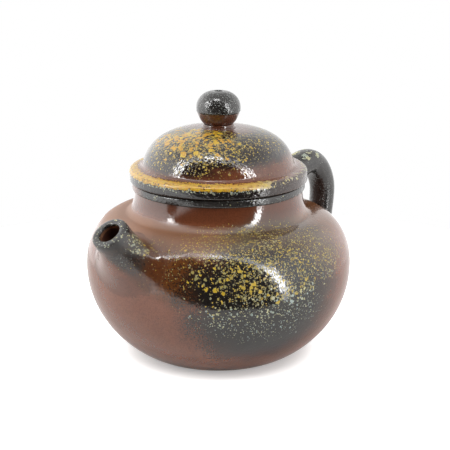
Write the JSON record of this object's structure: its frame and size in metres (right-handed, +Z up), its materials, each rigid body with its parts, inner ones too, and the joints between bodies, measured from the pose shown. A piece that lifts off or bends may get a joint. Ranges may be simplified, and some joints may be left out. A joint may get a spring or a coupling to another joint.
{
  "type": "clay teapot",
  "caption": "Small round clay teapot in speckled brown glaze, with a short spout, an ear-shaped side handle and a loose domed lid with a knob.",
  "frame": {"origin": "centre of the flat base, on the pot's turning axis, on the surface it stands on", "axes": "+Z up along the pot's axis, +X from the axis towards the handle, with the spout towards -X"},
  "size_m": [0.1001, 0.0808, 0.0802],
  "materials": {
    "body_glaze": "gloss",
    "dark_glaze": "gloss",
    "ash_glaze": "gloss",
    "base_clay": "matte",
    "inner_clay": "satin"
  },
  "bodies": {
    "pot": {"base_disc": "base_clay", "lower_belly": "body_glaze", "upper_belly": "body_glaze", "neck_collar": "body_glaze", "mouth_ring": "dark_glaze", "spout": "dark_glaze", "strainer": "inner_clay", "handle": "dark_glaze"},
    "lid_seat": {"lid_flange": "inner_clay"},
    "lid": {"lid_brim": "ash_glaze", "lid_dome": "ash_glaze", "lid_knob": "dark_glaze"}
  },
  "joints": [
    {"name": "lid_lift", "type": "slide", "parent": "pot", "child": "lid_seat", "axis": [0, 0, 1], "range_m": [0, 0.03]},
    {"name": "lid_turn", "type": "hinge", "parent": "lid_seat", "child": "lid", "pos_m": [0, 0, 0.0535], "axis": [0, 0, 1], "continuous": true}
  ]
}
